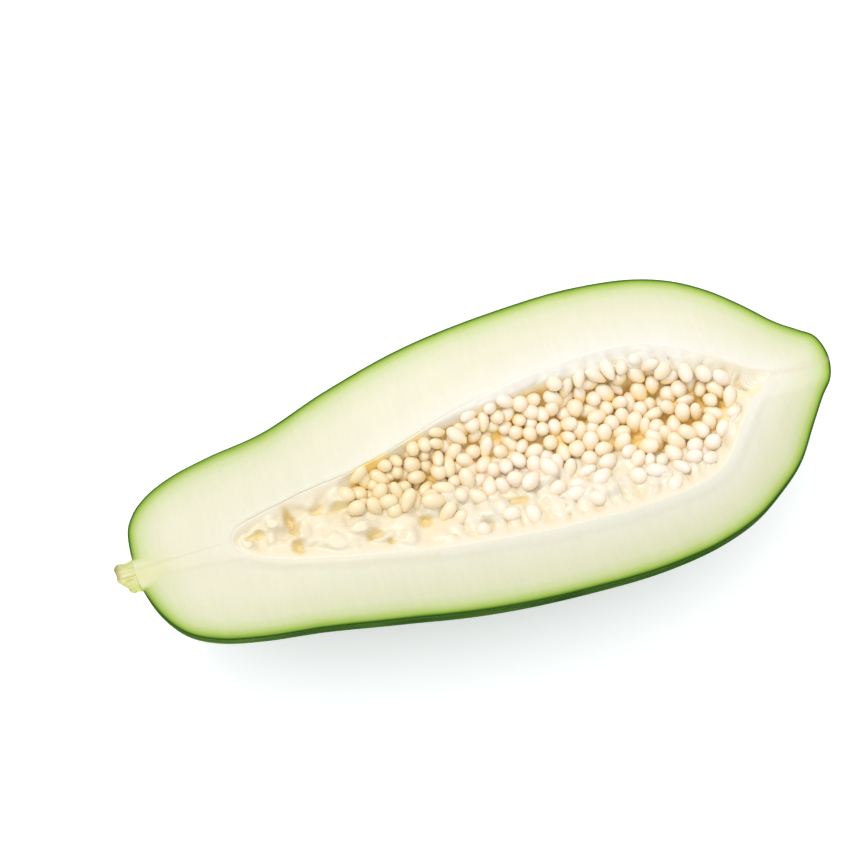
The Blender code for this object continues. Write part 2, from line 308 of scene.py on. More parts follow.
def attribute(tree, name, output="Fac"):
    return addNode(tree, "ShaderNodeAttribute", attribute_name=name).outputs[output]


def ownPlace(tree):
    return addNode(tree, "ShaderNodeTexCoord").outputs["Object"]


def newMaterial(name, **fixed):
    # a Principled material; the fixed values go straight onto its own sockets
    made = bpy.data.materials.new(name)
    made.use_nodes = True
    shader = made.node_tree.nodes["Principled BSDF"]
    for key, value in fixed.items():
        shader.inputs[key.replace("_", " ")].default_value = value
    return made, made.node_tree, shader


def newGroup(name, inputs, output):
    # an empty node group with a vector input, inputs with a default each, and one output
    group = bpy.data.node_groups.new(name, "ShaderNodeTree")
    group.interface.new_socket("Vector", in_out="INPUT", socket_type="NodeSocketVector")
    for key, value in inputs.items():
        socket = group.interface.new_socket(key, in_out="INPUT", socket_type="NodeSocketFloat")
        socket.default_value = value
    group.interface.new_socket(output, in_out="OUTPUT", socket_type="NodeSocketFloat")
    given, result = group.nodes.new("NodeGroupInput"), group.nodes.new("NodeGroupOutput")
    return group, given.outputs, result.inputs[output]


def buildStreakGroup():
    # fine fibres that run one way, with a cloudier mottle under them, as a mask from 0 to 1
    defaults = {"Fibres": 900.0, "Clouds": 60.0, "Cloud share": 0.4}
    group, given, result = newGroup("fibreStreaks", defaults, "Mask")
    fibres = noise(group, given["Vector"], given["Fibres"], 2.0, 0.6)
    clouds = noise(group, given["Vector"], given["Clouds"], 4.0, 0.55)
    share = times(group, clouds, given["Cloud share"])
    rest = calc(group, "SUBTRACT", 1.0, given["Cloud share"])
    group.links.new(calc(group, "ADD", share, times(group, fibres, rest)), result)
    return group


def buildPoreGroup():
    # small scattered dots over a fine grain, as a height from 0 to 1
    defaults = {"Dots": 500.0, "Grain": 2200.0, "Dot size": 0.3}
    group, given, result = newGroup("finePores", defaults, "Height")
    inputs = {"Vector": given["Vector"], "Scale": given["Dots"]}
    cells = addNode(group, "ShaderNodeTexVoronoi", inputs).outputs["Distance"]
    dots = calc(group, "DIVIDE", cells, given["Dot size"], clamp=True)
    grain = noise(group, given["Vector"], given["Grain"], 2.0, 0.5)
    grain = times(group, grain, 0.4)
    group.links.new(calc(group, "ADD", times(group, dots, 0.6), grain), result)
    return group


streakGroup, poreGroup = buildStreakGroup(), buildPoreGroup()


def streaks(tree, vector, fibres, clouds, share):
    values = {"Vector": vector, "Fibres": fibres, "Clouds": clouds, "Cloud share": share}
    return addNode(tree, "ShaderNodeGroup", values, node_tree=streakGroup).outputs["Mask"]


def pores(tree, vector, dots, grain, size):
    values = {"Vector": vector, "Dots": dots, "Grain": grain, "Dot size": size}
    return addNode(tree, "ShaderNodeGroup", values, node_tree=poreGroup).outputs["Height"]


def finishShader(tree, shader, colour, height=None, distance=0.0, strength=1.0):
    # links the colour and the bump to the shader
    tree.links.new(colour, shader.inputs["Base Color"])
    if height is not None:
        bump = {"Height": height, "Distance": distance, "Strength": strength}
        bump = addNode(tree, "ShaderNodeBump", bump)
        tree.links.new(bump.outputs["Normal"], shader.inputs["Normal"])


def mattRim(tree, shader, share):
    # the gloss fades where a surface is seen flat, as under a waxy bloom or a moist film
    facing = addNode(tree, "ShaderNodeLayerWeight", {"Blend": 0.35}).outputs["Facing"]
    gloss = times(tree, rescale(tree, facing, 0.0, 0.6, 0.5, 0.0), share)
    tree.links.new(gloss, shader.inputs["Specular IOR Level"])


skinLook = {
    "deep": paint(34, 66, 20),
    "green": paint(52, 94, 32),
    "light": paint(84, 130, 46),
    "streak": paint(146, 182, 84),
    "dot": paint(128, 164, 84),
    "scar": paint(112, 100, 56),
    "roughness": (0.28, 0.44),  # on the dark and on the light mottles
    "stemReach": 62.0,  # mm from the stem end over which the light streaks fade out
    "glossStart": 8.0,  # mm below the cut where the skin has its full gloss
}
fleshLook = {
    "bandWidth": 30.0,  # mm from the skin to the end of the colour ramp
    "bands": (  # distance from the skin and colour
        (0.0, paint(44, 76, 20)), (0.5, paint(84, 124, 36)), (0.95, paint(150, 186, 66)),
        (1.9, paint(190, 213, 112)), (3.6, paint(219, 229, 166)), (7.0, paint(235, 236, 198)),
        (13.0, paint(245, 241, 213)), (30.0, paint(250, 244, 221)),
    ),
    "stemTissue": paint(226, 226, 158),
    "inner": paint(255, 251, 240),
    "innerReach": 12.0,  # mm from the hollow over which the flesh is whiter
    "vein": paint(226, 208, 170),
    "nearShade": (0.875, 0.885, 0.845, 1),  # painted shade: the near side of the cut face, the flesh below the lip line and the stem end are darker and a little greener
    "roughness": 0.42,
    "glossStart": 6.0,  # mm from the skin where the flesh has its full gloss
}


def skinMaterial():
    made, tree, shader = newMaterial("papayaSkin")
    flow = attribute(tree, "flow", "Vector")
    fibres = streaks(tree, stretch(tree, flow, (0.12, 1.0, 1.0)), 420.0, 60.0, 0.45)
    mottle = noise(tree, stretch(tree, flow, (0.5, 1.0, 1.0)), 60.0, 6.0, 0.62, 0.3)
    greens = (0.30, skinLook["deep"]), (0.52, skinLook["green"]), (0.85, skinLook["light"])
    colour = ramp(tree, mottle, *greens)
    nearStem = fadeOut(tree, attribute(tree, "fromStem"), skinLook["stemReach"], 1.6)
    lines = ramp(tree, fibres, (0.46, 0.0), (0.68, 1.0))
    lines = times(tree, lines, calc(tree, "MULTIPLY_ADD", nearStem, 0.72, 0.12))
    colour = blend(tree, lines, colour, skinLook["streak"])
    ribbing = calc(tree, "POWER", attribute(tree, "rib"), 3.0)
    ribbing = times(tree, ribbing, calc(tree, "MULTIPLY_ADD", nearStem, 0.45, 0.08))
    colour = blend(tree, ribbing, colour, skinLook["streak"])
    speckle = ramp(tree, noise(tree, flow, 1100.0, 2.0, 0.5), (0.60, 0.0), (0.70, 1.0))
    colour = blend(tree, times(tree, speckle, 0.35), colour, skinLook["dot"])
    scar = times(tree, calc(tree, "SUBTRACT", mottle, 0.5), 0.8)
    scar = calc(tree, "ADD", scar, attribute(tree, "scar"), clamp=True)
    colour = blend(tree, scar, colour, skinLook["scar"])
    height = calc(tree, "MULTIPLY_ADD", fibres, 0.6, pores(tree, flow, 700.0, 2600.0, 0.35))
    finishShader(tree, shader, colour, height, 0.00022, 0.45)
    roughness = rescale(tree, mottle, 0.0, 1.0, *skinLook["roughness"])
    tree.links.new(roughness, shader.inputs["Roughness"])
    underCut = attribute(tree, "underCut")
    mattRim(tree, shader, calc(tree, "DIVIDE", underCut, skinLook["glossStart"], clamp=True))
    return made


def fleshMaterial():
    made, tree, shader = newMaterial("papayaFlesh", Roughness=fleshLook["roughness"])
    flow = attribute(tree, "flow", "Vector")
    fromSkin = attribute(tree, "fromSkin")
    fibres = streaks(tree, stretch(tree, flow, (1.0, 0.16, 1.0)), 520.0, 90.0, 0.4)
    wander = calc(tree, "MULTIPLY_ADD", noise(tree, flow, 120.0), 0.4, 0.8)
    depth = times(tree, fromSkin, wander)
    place = calc(tree, "DIVIDE", depth, fleshLook["bandWidth"], clamp=True)
    bands = [(at / fleshLook["bandWidth"], colour) for at, colour in fleshLook["bands"]]
    colour = ramp(tree, place, *bands)
    nearHollow = fadeOut(tree, attribute(tree, "fromHollow"), fleshLook["innerReach"], 1.5)
    whiter = rescale(tree, attribute(tree, "fromStem"), 70.0, 150.0, 0.25, 0.8)
    whiter = times(tree, nearHollow, whiter)
    colour = blend(tree, whiter, colour, fleshLook["inner"])
    # painted shade: the flesh is darkened on the near side of the cut, below the lip line and
    # towards the stem end
    nearSide = attribute(tree, "nearSide")
    colour = blend(tree, nearSide, colour, fleshLook["nearShade"], "MULTIPLY")
    colour = blend(tree, 0.5, colour, ramp(tree, fibres, (0.35, 0.94), (0.6, 1.0)), "MULTIPLY")
    colour = tint(tree, colour, fleshLook["vein"], "vein", 0.25)
    colour = tint(tree, colour, fleshLook["stemTissue"], "stemTissue", 0.8)
    height = calc(tree, "ADD", fibres, pores(tree, flow, 800.0, 2400.0, 0.3))
    finishShader(tree, shader, colour, height, 0.00018, 0.45)
    mattRim(tree, shader, calc(tree, "DIVIDE", fromSkin, fleshLook["glossStart"], clamp=True))
    return made


def skinPoints(share):
    # the ribbed pod with soft dents, eased onto the flat that it rests on
    angle = halfTurn(fruit["skinRows"])
    skin = podPoints(fruitTable, share, angle, ribbed=True)
    depth, size, fade = np.array(fruit["skinRelief"]) * mm
    relief = depth * (softNoise(skin, size, 3) - 1) / 2
    outward = skin * (0, 1, 1)
    outward /= np.linalg.norm(outward, axis=-1, keepdims=True) + tiny
    fromEnd = np.minimum(skin[..., 0], fruitTable[-1, 0] - skin[..., 0])
    skin = skin + outward * (relief * smoothStep(fromEnd / fade))[..., None]
    skin[:, 0, 2] = skin[:, -1, 2] = 0
    floor, soft = -origin[2], fruit["restSoftness"] * mm
    skin[..., 2] = floor + soft * np.logaddexp(0, (skin[..., 2] - floor) / soft)
    return skin


def flushShare(x, across):
    # 1 where the pulp lies level with the cut face: along the far rim on the right, and at that tip
    far = easeIn(x, bed["flushFar"], 14) * smoothStep(across * 4)
    return np.maximum(far, easeIn(x, bed["flushTip"], 12))


def wallPoints(share):
    # the wall of the hollow, whose rim wanders a little and turns down at its lip
    angle = halfTurn(fruit["wallRows"])
    wall = podPoints(hollowTable, share, angle)
    reach, size, deep = np.array(fruit["rimWander"]) * mm
    wander = reach * layeredNoise(wall, size, 11) * np.exp(wall[..., 2] / deep)
    wall[..., 1] += np.cos(angle) * wander * smoothStep(np.sin(math.pi * share) * 4)
    lip = np.clip(1 + wall[..., 2] / (fruit["rimHeight"] * mm), 0, 1) ** 2
    drop = fruit["rimDrop"] * mm * (1 - flushShare(wall[..., 0], np.cos(angle)))
    drop = drop * (0.75 + 0.25 * softNoise(wall, 9 * mm, 15))
    wall[..., 2] -= drop * lip
    return wall


def cutSide(skinRim, wallRim, isNear):
    # one side of the cut face, straight from rim to rim, with both edges rounded by
    # drop * (1 - distance / width)^2, and the distance from the hollow
    part = (1 - np.cos(math.pi * np.linspace(0, 1, fruit["cutRows"])))[None, :, None] / 2
    level = wallRim * (1, 1, 0)
    side = skinRim + (level - skinRim) * part
    length = np.linalg.norm(level - skinRim, axis=-1)
    fromSkin, fromHollow = length * part[..., 0], length * (1 - part[..., 0])
    rimRound = np.clip(1 - fromHollow / (fruit["rimWidth"] * mm), 0, 1)
    side[..., 2] += wallRim[..., 2] * rimRound**2
    edgeRound = np.clip(1 - fromSkin / (fruit["edgeWidth"] * mm), 0, 1)
    along, across = fruit["sharpReach"]
    x, y = side[..., 0] / mm, side[..., 1] / mm
    offStem = smoothStep((x / along) ** 2 + ((y - stem["axisY"]) / across) ** 2 - 0.6)
    side[..., 2] -= fruit["edgeDrop"] * mm * offStem * edgeRound**2
    if isNear:
        fromLip, inSkin, fromMiddle = fruit["nearFades"]
        sink = smoothStep((fromHollow / mm - fruit["nearLip"]) / fromLip)
        sink = sink * smoothStep(fromSkin / (inSkin * mm)) * smoothStep(-y / fromMiddle)
        side[..., 2] -= fruit["nearSink"] * mm * sink
    depth, size, margin = np.array(fruit["cutRelief"]) * mm
    calm = smoothStep(fromSkin / margin) * smoothStep(fromHollow / margin)
    side[..., 2] += depth * calm * (softNoise(side, size, 21) - 1) / 2
    return side, fromHollow / mm


def distanceTo(rim, points):
    # the level distance from each point to the nearest point of the rim, in mm
    parts = np.array_split(points[..., :2].reshape(-1, 1, 2), 40)
    nearest = [np.linalg.norm(part - rim[None], axis=-1).min(axis=1) for part in parts]
    return np.concatenate(nearest).reshape(points.shape[:2]) / mm


def fleshPart(points, fromSkin, fromHollow):
    # the fibres follow x and the distance from the skin; the two sides have patterns of their own
    across = (fromSkin + np.where(points[..., 1] > 0, fruit["flowShift"], 0)) * mm
    return points, fromSkin, fromHollow, flatPlace(points[..., 0], across), 0 * fromSkin


def fruitMarks(points, fromSkin):
    # what the colours follow; the vein is the outer line of the lip and runs on to the stem
    x, y, z = points.T / mm
    near = podReach(hollowTable, alongShare(hollowTable, points[:, 0]))[2] / mm
    first, slope, last = fruit["lipStart"]
    lip = np.maximum(first + slope * np.minimum(x, last), near + fruit["nearLip"])
    line = np.where(x < 100, -lip, stem["axisY"] + 0.7 * np.sin(x / 5))
    # painted shade: how strongly the flesh is darkened, on the near side, towards the stem end and
    # below the lip line
    shade = np.maximum(smoothStep(-y / 30 - 0.15), 0.7 * (1 - smoothStep((x - 30) / 90)))
    shade = shade + (1 - shade) * 0.5 * smoothStep((-y - lip) / 2.5)
    off = (x / fruit["tissueReach"]) ** 2 + ((y - stem["axisY"]) / fruit["tissueWidth"]) ** 2
    tissue = np.exp(-off)
    fromScar = (points / mm - fruit["scarPlace"]) / fruit["scarReach"]
    return {
        "vein": np.exp(-(((y - line) / 0.9) ** 2)) * (z > -2),
        "nearSide": shade,
        "stemTissue": tissue * (z > -6),
        "fromSkin": np.maximum(fromSkin, 14 * smoothStep(tissue * 1.5 - 0.2)),
        "fromStem": x,
        "underCut": -z,
        "scar": 1 - smoothStep(np.linalg.norm(fromScar, axis=-1) - 0.5),
    }


def buildFruit():
    # skin, cut face and hollow wall share the same places along the fruit, so their edges meet
    share = np.linspace(0, 1, fruit["columns"])[:, None]
    skin, wall = skinPoints(share), wallPoints(share)
    farSide, fromHollowFar = cutSide(skin[:, :1], wall[:, :1], False)
    nearSide, fromHollowNear = cutSide(skin[:, -1:], wall[:, -1:], True)
    skin[:, 0, 2], skin[:, -1, 2] = farSide[:, 0, 2], nearSide[:, 0, 2]
    rim = np.concatenate([skin[:, 0, :2], skin[:, -1, :2]])
    angle = np.broadcast_to(halfTurn(fruit["skinRows"]), skin.shape[:2])
    skinFlow = flatPlace(skin[..., 0], angle * fruit["flowRadius"] * mm)
    parts = [  # points, distance from the skin and from the hollow, pattern place and rib share
        (skin, 0 * angle, 0 * angle + 99, skinFlow, (1 + np.cos(ribTurn(angle))) / 2),
        fleshPart(farSide, distanceTo(rim, farSide), fromHollowFar),
        fleshPart(nearSide, distanceTo(rim, nearSide), fromHollowNear),
        fleshPart(wall, 0 * wall[..., 0] + fruit["wallInside"], 0 * wall[..., 0]),
    ]
    points, fromSkin, fromHollow, flow, rib = [
        np.concatenate([value.reshape(-1, *value.shape[2:]) for value in values])
        for values in zip(*parts)
    ]
    faces, slots, start = [], [], 0
    for part in parts:
        rows, columns = part[0].shape[:2]
        faces.append(gridFaces(rows, columns, start))
        slots.append(np.full(len(faces[-1]), 0 if part[0] is skin else 1))
        start += rows * columns
    attributes = {"fromHollow": fromHollow, "flow": flow, "rib": rib}
    piece = makePiece(
        "fruitHalf",
        points,
        np.concatenate(faces).tolist(),
        [skinMaterial(), fleshMaterial()],
        {**attributes, **fruitMarks(points, fromSkin)},
        np.concatenate(slots),
    )
    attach(piece, "root")
    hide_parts("fruit_half")


bed = {
    "milk": (0.735, 0.70, 0.62, 1),  # the far band, whiter than the rest: partly its own pulp, partly painted light on a slope that faces away from the lamps
    "fold": (0.73, 0.68, 0.52, 1),  # and painted shade in the hollows of its folds
    "white": (0.705, 0.64, 0.505, 1),
    "cream": (0.71, 0.61, 0.42, 1),
    # painted shade: tan in the low places of the pale pulp's relief
    "tan": (0.80, 0.63, 0.33, 1),
    "pit": (0.74, 0.58, 0.24, 1),
    "gold": (0.88, 0.70, 0.34, 1),
    # painted shade: the darker amber in the deep gaps between the seeds, besides the amber patches
    # of the mottle
    "amber": (0.82, 0.56, 0.15, 1),
    "gap": 0.6,  # between the back of the bed and the wall of the hollow
    "overlap": 1.6,  # how far the bed grows into the flesh
    "columns": 340,
    "faceRows": 150,
    "backRows": 20,
    "rimDrop": 0.25,  # the bed's edge under the cut face, and where it is flush with it
    "flushDrop": 0.03,
    "leftDrop": 0.2,  # and the extra drop along the far rim on the left
    "rimSoftness": 1.5,
    "outsideFall": 0.15,
    "flushFar": 124,  # x from where the pulp lies level with the far side of the cut face
    "flushTip": 202,  # and with both sides
    "troughDepth": 0.42,
    "troughPlace": 0.3,
    "troughPower": 2.0,
    "paleSlope": 0.36,  # fall of the bed from its rim in the pale pulp
    "bandFar": (  # x and y along the far edge of the thick seeds
        (72, 5), (75, 9), (81, 12.5), (96, 15), (110, 17), (124, 19), (138, 19.5), (150, 21),
        (164, 20), (177, 17.5), (187, 16), (202, 9.5), (208, 4.5), (214, -4),
    ),
    "bandNear": (  # and along their near edge
        (72, 4), (75, 3), (90, -2), (97, -1), (118, 0), (131, 3), (137, 2), (146, -1), (155, -5),
        (170, -7), (184, -13), (201, -14), (208, -12), (214, -5),
    ),
    "bandEdge": 3.0,
    "folds": (5.6, 1.4),  # period and height of the folds and strands of the pale pulp, from x on
    "strands": (2.3, 0.5),
    "foldStart": 92,
    "relief": (1.0, 7, 4.5),  # unevenness all over: height, size and fade at the rim
    "lumps": (  # x, y, reach along x, reach along y, height
        (38.5, -2.2, 3, 2.2, 0.9), (48.5, 0.6, 5.2, 3.6, 1.5), (49, -6, 4, 2.4, 0.8),
        (62.5, 6.6, 4, 2.4, 1.1), (64, -3.5, 6, 5.2, 1.9), (72, -10.5, 7.5, 4.6, 2.6),
        (80, -4.5, 5, 3.6, 2), (92, -11, 5.5, 4, 1.8), (109, -6.5, 9, 4.2, 2.6),
        (141.5, -8.5, 8.6, 4.2, 3.4), (122, -16, 7, 4.4, 2), (160, -20, 8, 4, 2),
        (180, -22, 7, 4, 1.6),
    ),
    "pits": (  # and rows like these for the tan pits
        (42.5, -0.8, 2.8, 1.9, -1.8), (54.6, 3.5, 1.5, 3.4, -2.6), (55.4, -2.5, 1.5, 3.4, -2.6),
        (54.8, -8.5, 1.7, 2.6, -2.2), (64.8, 2.6, 3, 1.3, -1.2), (72.2, 0.8, 3.2, 1.4, -1.6),
        (81, -12, 2.8, 2.2, -2.4), (86, -16.4, 1.2, 1.2, -1.4), (99.5, -12.5, 2.6, 1.8, -1.8),
        (132, -15, 4, 1.4, -1.6), (188, 6, 6, 3.4, -2.5),
    ),
    "spotWander": (1.5, 4),  # of the outlines of lumps and pits, and its size
    "lumpBase": 0.9,  # the pulp between the lumps lies this much lower
    "smallLumps": 44,  # these fall at random in the pale pulp
    "smallStretch": (38, 122),
    "smallReach": (1.9, 3.6),
    "smallHeight": (0.8, 1.9),
    "random": 23,
    "rimPatches": 3.4,  # size of the pale patches that break up the gold along the rim
}
seeds = {
    "ivory": (0.80, 0.69, 0.50, 1),
    "white": (0.82, 0.73, 0.64, 1),
    "peach": (0.84, 0.62, 0.38, 1),
    # painted shade: the amber on the lower sides of the seeds, strongest on seeds that lie low among
    # the others
    "amber": (0.95, 0.71, 0.27, 1),
    "golden": (0.74, 0.61, 0.35, 1),
    "roughness": 0.3,
    "count": 205,
    "length": 7.9,
    "width": 5.2,
    "lengthSpread": 0.10,
    "squashSpread": 0.06,
    "segments": 12,
    "rings": 8,
    "dents": 0.16,
    "sink": 2.4,  # how deep the seeds sit in the bed, on the left and in the right third
    "sinkRight": 1.7,
    "paleSink": 0.7,  # seeds in the pale pulp are rooted this much deeper
    "shownShare": 0.55,  # a seed whose top is lower than this share of its half width is left out
    "lean": (56, 90),  # degrees from upright
    "settleSteps": 45,
    "ballSpread": 1.2,
    "pushShare": 0.22,  # how far overlapping seeds move apart in a step
    "turnShare": 0.05,  # how much a seed is turned by its neighbours
    "squeeze": 0.94,  # how close two seeds come, as a share of their width
    "topDrop": 0.4,  # the tops stay this much under the cut face
    "random": 7,
    "tries": 12000,
    "thin": 0.34,  # how often a seed stands in the pale pulp, against the thick band
    "stretch": (72, 213),
    "startSpread": 9,  # how unevenly the heap begins on the left
    "limitSpread": (0.62, 0.94),  # how near the rim the seeds lie, as a share of the reach
    "straySpread": 3.5,
    "gaps": (  # x, y of the deeper gaps between the seeds
        (75, 0.5), (79.5, 8.5), (87, 11), (93.5, 4.5), (98, 0.5), (99, 12), (105, 3), (116.5, 16),
        (121, 11), (133, 10), (145.5, 3.5), (151, 17), (155, 10), (155, -6), (162, 7), (170, -9),
        (178.5, -4.5), (181, 11.5), (186, -12), (189.5, -2.5), (192, -16), (197, -7), (202.5, -0.5),
        (210, -3),
    ),
    "gapReach": 1.8,
    "gapSpot": (3.2, 2.6),
    "gapDepth": 1.8,  # how much deeper the bed lies in the gaps on the right
}
seedHalf, seedWide = seeds["length"] / 2 * mm, seeds["width"] / 2 * mm


def smallLumps():
    # rows like those of the lumps above, placed at random across the hollow
    random = np.random.default_rng(bed["random"])
    count = bed["smallLumps"]
    x = random.uniform(*bed["smallStretch"], count)
    _, far, near, _ = podReach(hollowTable, alongShare(hollowTable, x * mm))
    y = random.uniform(-near / mm, far / mm) * 0.86
    wide, tall = random.uniform(*bed["smallReach"], (2, count))
    return np.stack([x, y, wide, tall, random.uniform(*bed["smallHeight"], count)], axis=-1)


allLumps = np.concatenate([np.array(bed["lumps"], float), smallLumps()])


def bedReach(x):
    share = alongShare(hollowTable, x)
    _, far, near, depth = podReach(hollowTable, share, bed["gap"] * mm)
    return far, near, depth


def bedEdge(x, across):
    # how far the bed's edge lies under the cut face; it runs flush into the flesh on the far right
    flush = flushShare(x, across)
    left = easeIn(x, 36, 8) * (1 - easeIn(x, 96, 24))
    left = bed["leftDrop"] * smoothStep(across * 3) * left
    return (left + bed["rimDrop"] + (bed["flushDrop"] - bed["rimDrop"]) * flush) * mm


def bandLine(x, name):
    return np.interp(x / mm, *np.array(bed[name]).T) * mm


def bedZone(x, y):
    # 1 where the seeds stand thick, 0 in the pale pulp
    edge = bed["bandEdge"] * mm
    wander = 4 * softNoise(flatPlace(x, y), 5 * mm, 97)
    start = smoothStep((x / mm - seeds["stretch"][0] + wander) / 11 + 0.3)
    start = start * smoothStep((bandLine(x, "bandFar") - y) / edge + 0.5)
    return start * smoothStep((y - bandLine(x, "bandNear")) / edge + 0.5)


def bedSpots(x, y, spots):
    # flat-topped mounds with uneven outlines, height * exp(-(distance in reaches)^4): their sum,
    # and the strongest of them from 0 to 1
    flat, (wander, size) = flatPlace(x, y), bed["spotWander"]
    atX = x / mm + wander * layeredNoise(flat, size * mm, 91)
    atY = y / mm + wander * layeredNoise(flat, size * mm, 95)
    total, strongest = 0, 0
    for spotX, spotY, reachX, reachY, height in spots:
        away = ((atX - spotX) / reachX) ** 2 + ((atY - spotY) / reachY) ** 2
        mound = np.exp(-(away**2))
        total = total + height * mm * mound
        strongest = np.maximum(strongest, mound)
    return total, strongest


def gapShare(x, y):
    # 1 in the gaps between the seeds
    return bedSpots(x, y, [(*place, *seeds["gapSpot"], 0.0) for place in seeds["gaps"]])[1]


def bedRelief(x, y, zone, fromRim):
    # folds and strands, |sin(x)| with a warped x, on the right; lumps, pits and soft unevenness
    flat = flatPlace(x, y)
    warp = 3.0 * mm * softNoise(flat, 8 * mm, 31) + 1.0 * mm * softNoise(flat, 3 * mm, 35)
    foldPeriod, foldHeight = np.array(bed["folds"]) * mm
    strandPeriod, strandHeight = np.array(bed["strands"]) * mm
    height, size, fade = np.array(bed["relief"]) * mm
    ridge = np.abs(np.sin(math.pi * (x + warp) / foldPeriod)) ** 0.6
    strand = np.abs(np.sin(math.pi * (x + 1.4 * warp) / strandPeriod))
    inside = smoothStep(fromRim / fade)
    right = easeIn(x, bed["foldStart"], 20)
    relief = foldHeight * (ridge - 0.95) + strandHeight * (strand - 0.9)
    relief = relief * (1 - zone) * right * inside + height * layeredNoise(flat, size, 41) * inside
    mounds = bedSpots(x, y, allLumps)[0] - bed["lumpBase"] * mm * (1 - right)
    return relief + (mounds + bedSpots(x, y, bed["pits"])[0]) * inside


def bedHeight(x, y):
    # the trough of the bed, drop = rim + depth share * (1 - (distance from trough)^2), shallower
    # in the pale pulp, with its relief; also the relief alone and the distance from the rim
    far, near, depth = bedReach(x)
    middle, lean = (far + near) / 2, (far - near) / 2
    across = 2 * y / (middle + np.sqrt(np.maximum(middle**2 + 4 * lean * y, tiny)) + tiny)
    across = np.clip(across, -1, 1)
    place = bed["troughPlace"]
    away = np.abs(across - place) / np.where(across > place, 1 - place, 1 + place)
    edge, zone = bedEdge(x, across), bedZone(x, y)
    deep = edge + bed["troughDepth"] * depth * (1 - away ** bed["troughPower"])
    soft = bed["rimSoftness"] * mm
    fromRim = -soft * np.logaddexp((y - far) / soft, (-near - y) / soft)
    outside = np.maximum(-fromRim - bed["gap"] * mm, 0)
    fromRim = np.maximum(fromRim, 0)
    relief = bedRelief(x, y, zone, fromRim)
    shallow = np.minimum(deep, edge + bed["paleSlope"] * fromRim)
    drop = shallow + (deep - shallow) * zone
    right = easeIn(x, 130, 40)
    drop = drop + seeds["gapDepth"] * mm * gapShare(x, y) * right * zone
    z = np.minimum(relief - drop, -bed["flushDrop"] * mm) - bed["outsideFall"] * outside
    return z, relief, fromRim


def pulpMaterial():
    made, tree, shader = newMaterial(
        "papayaPulp", Roughness=0.38, Coat_Weight=0.12, Coat_Roughness=0.22
    )
    place = ownPlace(tree)
    fibres = streaks(tree, stretch(tree, place, (1.0, 0.35, 0.35)), 600.0, 120.0, 0.45)
    mottle = noise(tree, place, 160.0, 4.0, 0.6)
    # painted shade: the gaps between the seeds are painted a darker amber; the mottle below adds
    # amber patches of the pulp's own
    amber = blend(tree, attribute(tree, "deepGap"), bed["gold"], bed["amber"])
    amber = blend(tree, ramp(tree, mottle, (0.35, 0.5), (0.65, 0.0)), amber, bed["amber"])
    # painted shade: the pale pulp runs from tan in the low places of its relief through cream to
    # white on its mounds
    height = rescale(tree, attribute(tree, "relief"), -2.8, 1.0)
    grain = times(tree, calc(tree, "SUBTRACT", fibres, 0.5), 0.5)
    height = calc(tree, "ADD", height, grain)
    pale = ramp(tree, height, (0.1, bed["tan"]), (0.45, bed["cream"]), (0.75, bed["white"]))
    pale = tint(tree, pale, bed["cream"], "warm", 0.6)
    # painted shade: the far band runs from the fold colour in the hollows of its folds to milk on
    # their ridges
    milky = ramp(tree, height, (0.35, bed["fold"]), (0.72, bed["milk"]))
    pale = blend(tree, attribute(tree, "farBand"), pale, milky)
    colour = blend(tree, attribute(tree, "zone"), pale, amber)
    colour = tint(tree, colour, bed["pit"], "pit", 0.75)
    bump = calc(tree, "ADD", fibres, times(tree, mottle, 0.6))
    finishShader(tree, shader, colour, bump, 0.0006, 0.5)
    return made


def bedMarks(x, y, relief, fromRim):
    # what the colours of the bed follow
    patches = softNoise(flatPlace(x, y), bed["rimPatches"] * mm, 99)
    patches = smoothStep(3.4 * patches + 0.35) * (1 - easeIn(fromRim, 1.5, 3))
    return {
        "zone": bedZone(x, y) * (1 - 0.85 * patches),
        "pit": bedSpots(x, y, bed["pits"])[1],
        # painted shade: 1 in the gaps between the seeds, which are painted a darker amber
        "deepGap": gapShare(x, y),
        "relief": relief / mm,
        "farBand": smoothStep(y / mm / 8 - 1.2) * easeIn(x, 105, 20),
        "warm": (1 - easeIn(x, 70, 60)) * smoothStep(fromRim / (4 * mm)),
    }


